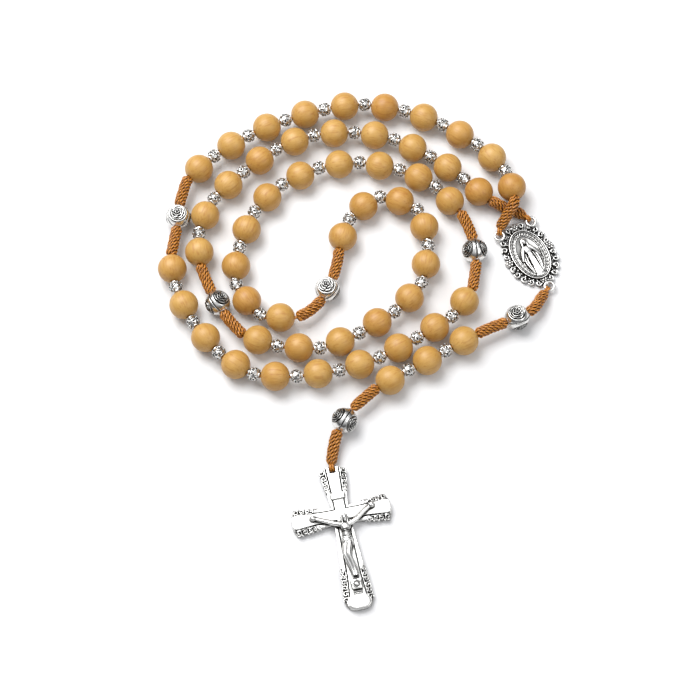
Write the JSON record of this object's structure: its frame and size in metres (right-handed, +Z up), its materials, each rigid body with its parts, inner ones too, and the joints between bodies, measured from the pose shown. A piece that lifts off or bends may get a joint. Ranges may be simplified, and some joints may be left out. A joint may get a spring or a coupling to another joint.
{
  "type": "rosary",
  "caption": "Wooden-bead rosary lying coiled flat: knotted brown cord with small silver balls and rose beads, an oval filigree medal, and a pendant that ends in a flared crucifix.",
  "frame": {"origin": "middle of the space that the rosary covers, on the table it lies on", "axes": "+Z up; +Y from the crucifix towards the far side of the loop; +X towards the medal"},
  "size_m": [0.1125, 0.1519, 0.0087],
  "materials": {
    "boxwood": "pale turned boxwood, waxed to a soft sheen",
    "cord": "golden-brown twisted nylon cord",
    "antique_silver": "bright silver-toned casting with darkened recesses"
  },
  "bodies": {
    "loop": {"cord_1_2": "cord", "cord_4_5": "cord"},
    "decade_3": {"cord_3": "cord"},
    "medal": {"medal": "antique_silver"},
    "pendant": {"pendant_cord": "cord"},
    "tail": {"pendant_tail": "cord"},
    "crucifix": {"crucifix": "antique_silver"},
    "decade_1_bead_01": {"decade_1_bead_01": "boxwood"},
    "decade_1_bead_02": {"decade_1_bead_02": "boxwood"},
    "decade_1_bead_03": {"decade_1_bead_03": "boxwood"},
    "decade_1_bead_04": {"decade_1_bead_04": "boxwood"},
    "decade_1_bead_05": {"decade_1_bead_05": "boxwood"},
    "decade_1_bead_06": {"decade_1_bead_06": "boxwood"},
    "decade_1_bead_07": {"decade_1_bead_07": "boxwood"},
    "decade_1_bead_08": {"decade_1_bead_08": "boxwood"},
    "decade_1_bead_09": {"decade_1_bead_09": "boxwood"},
    "decade_1_bead_10": {"decade_1_bead_10": "boxwood"},
    "decade_2_bead_01": {"decade_2_bead_01": "boxwood"},
    "decade_2_bead_02": {"decade_2_bead_02": "boxwood"},
    "decade_2_bead_03": {"decade_2_bead_03": "boxwood"},
    "decade_2_bead_04": {"decade_2_bead_04": "boxwood"},
    "decade_2_bead_05": {"decade_2_bead_05": "boxwood"},
    "decade_2_bead_06": {"decade_2_bead_06": "boxwood"},
    "decade_2_bead_07": {"decade_2_bead_07": "boxwood"},
    "decade_2_bead_08": {"decade_2_bead_08": "boxwood"},
    "decade_2_bead_09": {"decade_2_bead_09": "boxwood"},
    "decade_2_bead_10": {"decade_2_bead_10": "boxwood"},
    "decade_3_bead_01": {"decade_3_bead_01": "boxwood"},
    "decade_3_bead_02": {"decade_3_bead_02": "boxwood"},
    "decade_3_bead_03": {"decade_3_bead_03": "boxwood"},
    "decade_3_bead_04": {"decade_3_bead_04": "boxwood"},
    "decade_3_bead_05": {"decade_3_bead_05": "boxwood"},
    "decade_3_bead_06": {"decade_3_bead_06": "boxwood"},
    "decade_3_bead_07": {"decade_3_bead_07": "boxwood"},
    "decade_3_bead_08": {"decade_3_bead_08": "boxwood"},
    "decade_3_bead_09": {"decade_3_bead_09": "boxwood"},
    "decade_3_bead_10": {"decade_3_bead_10": "boxwood"},
    "decade_4_bead_01": {"decade_4_bead_01": "boxwood"},
    "decade_4_bead_02": {"decade_4_bead_02": "boxwood"},
    "decade_4_bead_03": {"decade_4_bead_03": "boxwood"},
    "decade_4_bead_04": {"decade_4_bead_04": "boxwood"},
    "decade_4_bead_05": {"decade_4_bead_05": "boxwood"},
    "decade_4_bead_06": {"decade_4_bead_06": "boxwood"},
    "decade_4_bead_07": {"decade_4_bead_07": "boxwood"},
    "decade_4_bead_08": {"decade_4_bead_08": "boxwood"},
    "decade_4_bead_09": {"decade_4_bead_09": "boxwood"},
    "decade_4_bead_10": {"decade_4_bead_10": "boxwood"},
    "decade_5_bead_01": {"decade_5_bead_01": "boxwood"},
    "decade_5_bead_02": {"decade_5_bead_02": "boxwood"},
    "decade_5_bead_03": {"decade_5_bead_03": "boxwood"},
    "decade_5_bead_04": {"decade_5_bead_04": "boxwood"},
    "decade_5_bead_05": {"decade_5_bead_05": "boxwood"},
    "decade_5_bead_06": {"decade_5_bead_06": "boxwood"},
    "decade_5_bead_07": {"decade_5_bead_07": "boxwood"},
    "decade_5_bead_08": {"decade_5_bead_08": "boxwood"},
    "decade_5_bead_09": {"decade_5_bead_09": "boxwood"},
    "decade_5_bead_10": {"decade_5_bead_10": "boxwood"},
    "pendant_bead_01": {"pendant_bead_01": "boxwood"},
    "pendant_bead_02": {"pendant_bead_02": "boxwood"},
    "pendant_bead_03": {"pendant_bead_03": "boxwood"}
  },
  "joints": [
    {"name": "decade_3_lift", "type": "hinge", "parent": "loop", "child": "decade_3", "pos_m": [0.00501, 0.02187, 0.004], "axis": [0.8159, 0.5782, 0], "range_deg": [0, 40]},
    {"name": "medal_tilt", "type": "hinge", "parent": "loop", "child": "medal", "pos_m": [0.04305, 0.03499, 0.0015], "axis": [-0.8919, -0.4523, 0], "range_deg": [0, 40]},
    {"name": "pendant_swing", "type": "hinge", "parent": "medal", "child": "pendant", "pos_m": [0.05244, 0.01621, 0.0015], "axis": [0, 0, 1], "range_deg": [0, 60]},
    {"name": "tail_swing", "type": "hinge", "parent": "pendant", "child": "tail", "pos_m": [-0.00245, -0.02116, 0.0035], "axis": [0, 0, 1], "range_deg": [-25, 25]},
    {"name": "crucifix_swing", "type": "hinge", "parent": "tail", "child": "crucifix", "pos_m": [-0.0079, -0.0372, 0.0015], "axis": [-0.9803, -0.1977, 0], "range_deg": [0, 85]},
    {"name": "decade_1_wood_01_turn", "type": "hinge", "parent": "loop", "child": "decade_1_bead_01", "pos_m": [0.04263, 0.04541, 0.00481], "axis": [-0.1879, 0.9595, -0.2098], "continuous": true},
    {"name": "decade_1_wood_02_turn", "type": "hinge", "parent": "loop", "child": "decade_1_bead_02", "pos_m": [0.03737, 0.05527, 0.00398], "axis": [-0.6935, 0.7202, 0.0154], "continuous": true},
    {"name": "decade_1_wood_03_turn", "type": "hinge", "parent": "loop", "child": "decade_1_bead_03", "pos_m": [0.02838, 0.06262, 0.00401], "axis": [-0.8305, 0.557, -0.0033], "continuous": true},
    {"name": "decade_1_wood_04_turn", "type": "hinge", "parent": "loop", "child": "decade_1_bead_04", "pos_m": [0.01817, 0.06821, 0.004], "axis": [-0.923, 0.3849, 0.0003], "continuous": true},
    {"name": "decade_1_wood_05_turn", "type": "hinge", "parent": "loop", "child": "decade_1_bead_05", "pos_m": [0.00699, 0.07146, 0.004], "axis": [-0.9834, 0.1817, 0], "continuous": true},
    {"name": "decade_1_wood_06_turn", "type": "hinge", "parent": "loop", "child": "decade_1_bead_06", "pos_m": [-0.00456, 0.07184, 0.004], "axis": [-0.9882, -0.1529, 0], "continuous": true},
    {"name": "decade_1_wood_07_turn", "type": "hinge", "parent": "loop", "child": "decade_1_bead_07", "pos_m": [-0.01591, 0.06915, 0.004], "axis": [-0.9555, -0.2951, 0], "continuous": true},
    {"name": "decade_1_wood_08_turn", "type": "hinge", "parent": "loop", "child": "decade_1_bead_08", "pos_m": [-0.02678, 0.06493, 0.004], "axis": [-0.9004, -0.4351, 0], "continuous": true},
    {"name": "decade_1_wood_09_turn", "type": "hinge", "parent": "loop", "child": "decade_1_bead_09", "pos_m": [-0.03685, 0.05904, 0.004], "axis": [-0.8252, -0.5649, 0], "continuous": true},
    {"name": "decade_1_wood_10_turn", "type": "hinge", "parent": "loop", "child": "decade_1_bead_10", "pos_m": [-0.0458, 0.05163, 0.00401], "axis": [-0.6907, -0.7231, 0.0022], "continuous": true},
    {"name": "decade_2_wood_01_turn", "type": "hinge", "parent": "loop", "child": "decade_2_bead_01", "pos_m": [-0.05233, 0.02046, 0.00402], "axis": [0.1449, -0.9894, -0.0043], "continuous": true},
    {"name": "decade_2_wood_02_turn", "type": "hinge", "parent": "loop", "child": "decade_2_bead_02", "pos_m": [-0.04878, 0.0095, 0.004], "axis": [0.4409, -0.8976, 0], "continuous": true},
    {"name": "decade_2_wood_03_turn", "type": "hinge", "parent": "loop", "child": "decade_2_bead_03", "pos_m": [-0.04251, -0.00031, 0.004], "axis": [0.6227, -0.7825, 0], "continuous": true},
    {"name": "decade_2_wood_04_turn", "type": "hinge", "parent": "loop", "child": "decade_2_bead_04", "pos_m": [-0.0341, -0.00826, 0.004], "axis": [0.8347, -0.5507, 0], "continuous": true},
    {"name": "decade_2_wood_05_turn", "type": "hinge", "parent": "loop", "child": "decade_2_bead_05", "pos_m": [-0.0233, -0.01173, 0.004], "axis": [0.9996, -0.0282, 0], "continuous": true},
    {"name": "decade_2_wood_06_turn", "type": "hinge", "parent": "loop", "child": "decade_2_bead_06", "pos_m": [-0.01168, -0.01094, 0.004], "axis": [0.9889, 0.1487, 0], "continuous": true},
    {"name": "decade_2_wood_07_turn", "type": "hinge", "parent": "loop", "child": "decade_2_bead_07", "pos_m": [-0.00035, -0.00824, 0.004], "axis": [0.9457, 0.3249, 0], "continuous": true},
    {"name": "decade_2_wood_08_turn", "type": "hinge", "parent": "loop", "child": "decade_2_bead_08", "pos_m": [0.01024, -0.00338, 0.004], "axis": [0.8708, 0.4916, 0], "continuous": true},
    {"name": "decade_2_wood_09_turn", "type": "hinge", "parent": "loop", "child": "decade_2_bead_09", "pos_m": [0.02022, 0.0027, 0.004], "axis": [0.839, 0.5441, 0], "continuous": true},
    {"name": "decade_2_wood_10_turn", "type": "hinge", "parent": "loop", "child": "decade_2_bead_10", "pos_m": [0.02856, 0.01051, 0.00402], "axis": [0.5423, 0.8402, 0.0039], "continuous": true},
    {"name": "decade_3_wood_01_turn", "type": "hinge", "parent": "decade_3", "child": "decade_3_bead_01", "pos_m": [0.02511, 0.04142, 0.00402], "axis": [-0.6411, 0.7674, -0.0044], "continuous": true},
    {"name": "decade_3_wood_02_turn", "type": "hinge", "parent": "decade_3", "child": "decade_3_bead_02", "pos_m": [0.0164, 0.04887, 0.004], "axis": [-0.8955, 0.4451, 0], "continuous": true},
    {"name": "decade_3_wood_03_turn", "type": "hinge", "parent": "decade_3", "child": "decade_3_bead_03", "pos_m": [0.00543, 0.05261, 0.004], "axis": [-0.9777, 0.2098, 0], "continuous": true},
    {"name": "decade_3_wood_04_turn", "type": "hinge", "parent": "decade_3", "child": "decade_3_bead_04", "pos_m": [-0.00609, 0.05307, 0.004], "axis": [-0.9876, -0.1568, 0], "continuous": true},
    {"name": "decade_3_wood_05_turn", "type": "hinge", "parent": "decade_3", "child": "decade_3_bead_05", "pos_m": [-0.01708, 0.04945, 0.004], "axis": [-0.8938, -0.4485, 0], "continuous": true},
    {"name": "decade_3_wood_06_turn", "type": "hinge", "parent": "decade_3", "child": "decade_3_bead_06", "pos_m": [-0.0263, 0.04256, 0.004], "axis": [-0.6639, -0.7478, 0], "continuous": true},
    {"name": "decade_3_wood_07_turn", "type": "hinge", "parent": "decade_3", "child": "decade_3_bead_07", "pos_m": [-0.03195, 0.03255, 0.004], "axis": [-0.333, -0.9429, 0], "continuous": true},
    {"name": "decade_3_wood_08_turn", "type": "hinge", "parent": "decade_3", "child": "decade_3_bead_08", "pos_m": [-0.03468, 0.02128, 0.004], "axis": [-0.1176, -0.9931, 0], "continuous": true},
    {"name": "decade_3_wood_09_turn", "type": "hinge", "parent": "decade_3", "child": "decade_3_bead_09", "pos_m": [-0.03146, 0.01074, 0.004], "axis": [0.5753, -0.8179, 0], "continuous": true},
    {"name": "decade_3_wood_10_turn", "type": "hinge", "parent": "decade_3", "child": "decade_3_bead_10", "pos_m": [-0.0221, 0.00568, 0.00401], "axis": [0.9999, -0.0145, 0.0035], "continuous": true},
    {"name": "decade_4_wood_01_turn", "type": "hinge", "parent": "loop", "child": "decade_4_bead_01", "pos_m": [-0.00501, 0.03022, 0.00401], "axis": [0.2694, 0.963, -0.003], "continuous": true},
    {"name": "decade_4_wood_02_turn", "type": "hinge", "parent": "loop", "child": "decade_4_bead_02", "pos_m": [0.00077, 0.03981, 0.004], "axis": [0.7694, 0.6387, 0], "continuous": true},
    {"name": "decade_4_wood_03_turn", "type": "hinge", "parent": "loop", "child": "decade_4_bead_03", "pos_m": [0.011, 0.04142, 0.004], "axis": [0.9297, -0.3684, 0], "continuous": true},
    {"name": "decade_4_wood_04_turn", "type": "hinge", "parent": "loop", "child": "decade_4_bead_04", "pos_m": [0.01782, 0.03333, 0.004], "axis": [0.2108, -0.9775, 0], "continuous": true},
    {"name": "decade_4_wood_05_turn", "type": "hinge", "parent": "loop", "child": "decade_4_bead_05", "pos_m": [0.01809, 0.02184, 0.004], "axis": [-0.1672, -0.9859, 0], "continuous": true},
    {"name": "decade_4_wood_06_turn", "type": "hinge", "parent": "loop", "child": "decade_4_bead_06", "pos_m": [0.01343, 0.01156, 0.004], "axis": [-0.6797, -0.7335, 0], "continuous": true},
    {"name": "decade_4_wood_07_turn", "type": "hinge", "parent": "loop", "child": "decade_4_bead_07", "pos_m": [0.00447, 0.00419, 0.004], "axis": [-0.8315, -0.5555, 0], "continuous": true},
    {"name": "decade_4_wood_08_turn", "type": "hinge", "parent": "loop", "child": "decade_4_bead_08", "pos_m": [-0.00567, -0.00152, 0.004], "axis": [-0.9145, -0.4047, 0], "continuous": true},
    {"name": "decade_4_wood_09_turn", "type": "hinge", "parent": "loop", "child": "decade_4_bead_09", "pos_m": [-0.01696, -0.00333, 0.004], "axis": [-0.9981, 0.0615, 0], "continuous": true},
    {"name": "decade_4_wood_10_turn", "type": "hinge", "parent": "loop", "child": "decade_4_bead_10", "pos_m": [-0.02826, -0.00103, 0.00401], "axis": [-0.9272, 0.3745, 0.0034], "continuous": true},
    {"name": "decade_5_wood_01_turn", "type": "hinge", "parent": "loop", "child": "decade_5_bead_01", "pos_m": [-0.04498, 0.02555, 0.00402], "axis": [-0.1028, 0.9947, -0.004], "continuous": true},
    {"name": "decade_5_wood_02_turn", "type": "hinge", "parent": "loop", "child": "decade_5_bead_02", "pos_m": [-0.04364, 0.03688, 0.004], "axis": [0.3411, 0.94, 0], "continuous": true},
    {"name": "decade_5_wood_03_turn", "type": "hinge", "parent": "loop", "child": "decade_5_bead_03", "pos_m": [-0.03736, 0.04647, 0.004], "axis": [0.71, 0.7042, 0], "continuous": true},
    {"name": "decade_5_wood_04_turn", "type": "hinge", "parent": "loop", "child": "decade_5_bead_04", "pos_m": [-0.02866, 0.05426, 0.004], "axis": [0.7796, 0.6263, 0], "continuous": true},
    {"name": "decade_5_wood_05_turn", "type": "hinge", "parent": "loop", "child": "decade_5_bead_05", "pos_m": [-0.01878, 0.06033, 0.004], "axis": [0.9208, 0.3899, 0], "continuous": true},
    {"name": "decade_5_wood_06_turn", "type": "hinge", "parent": "loop", "child": "decade_5_bead_06", "pos_m": [-0.00754, 0.06302, 0.004], "axis": [0.9966, 0.0822, 0], "continuous": true},
    {"name": "decade_5_wood_07_turn", "type": "hinge", "parent": "loop", "child": "decade_5_bead_07", "pos_m": [0.00404, 0.06241, 0.004], "axis": [0.9812, -0.1931, -0.0003], "continuous": true},
    {"name": "decade_5_wood_08_turn", "type": "hinge", "parent": "loop", "child": "decade_5_bead_08", "pos_m": [0.01487, 0.05833, 0.00399], "axis": [0.875, -0.4842, -0.0013], "continuous": true},
    {"name": "decade_5_wood_09_turn", "type": "hinge", "parent": "loop", "child": "decade_5_bead_09", "pos_m": [0.02469, 0.05201, 0.00402], "axis": [0.8053, -0.5928, 0.0101], "continuous": true},
    {"name": "decade_5_wood_10_turn", "type": "hinge", "parent": "loop", "child": "decade_5_bead_10", "pos_m": [0.03335, 0.04434, 0.00405], "axis": [0.7366, -0.6757, -0.0291], "continuous": true},
    {"name": "pendant_wood_01_turn", "type": "hinge", "parent": "pendant", "child": "pendant_bead_01", "pos_m": [0.02817, -0.00128, 0.00402], "axis": [-0.8736, -0.4867, -0.0041], "continuous": true},
    {"name": "pendant_wood_02_turn", "type": "hinge", "parent": "pendant", "child": "pendant_bead_02", "pos_m": [0.01803, -0.0071, 0.004], "axis": [-0.8711, -0.4911, 0], "continuous": true},
    {"name": "pendant_wood_03_turn", "type": "hinge", "parent": "pendant", "child": "pendant_bead_03", "pos_m": [0.00788, -0.01288, 0.00401], "axis": [-0.8478, -0.5302, 0.0031], "continuous": true}
  ]
}
